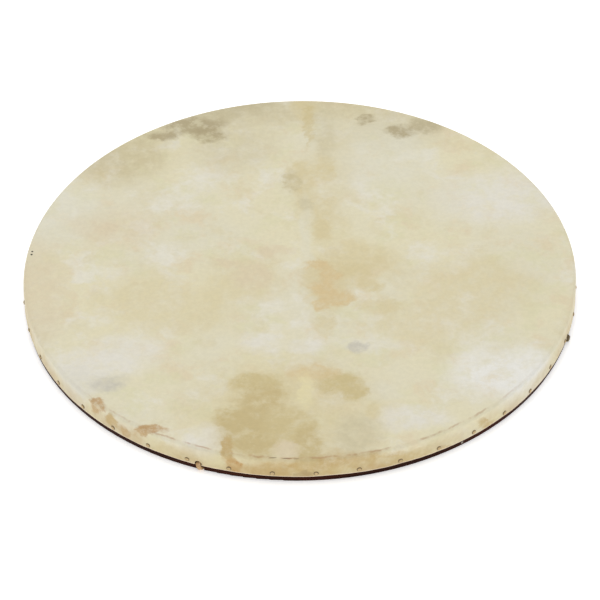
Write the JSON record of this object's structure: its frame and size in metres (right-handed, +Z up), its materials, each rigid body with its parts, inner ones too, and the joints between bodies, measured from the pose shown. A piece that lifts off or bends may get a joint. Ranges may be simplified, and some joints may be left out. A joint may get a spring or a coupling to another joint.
{
  "type": "frame drum",
  "caption": "Large shallow frame drum: a goatskin head tacked round a bent wooden hoop, with crossed leather laces bound into a hand grip underneath.",
  "frame": {"origin": "centre of the hoop's lower rim, on the surface that the drum lies on", "axes": "+Z up through the head, +X along the lace that runs straight across, towards its showing loop"},
  "size_m": [0.6074, 0.607, 0.032],
  "materials": {
    "hoop_wood": "dark stained and oiled",
    "goatskin": "dried rawhide, smooth, satin",
    "tack_metal": "dull, darkened",
    "nail_steel": "dull grey",
    "lace_leather": "rawhide lace, matte",
    "wrap_leather": "soft leather, matte"
  },
  "bodies": {
    "root": {"hoop": "hoop_wood", "skin_head": "goatskin", "skin_side": "goatskin", "tacks": "tack_metal", "scarf_nails": "nail_steel", "cross_lace_a": "lace_leather", "cross_lace_b": "lace_leather", "grip_wrap_a": "wrap_leather", "grip_wrap_b": "wrap_leather", "grip_lashing": "wrap_leather"}
  },
  "joints": []
}
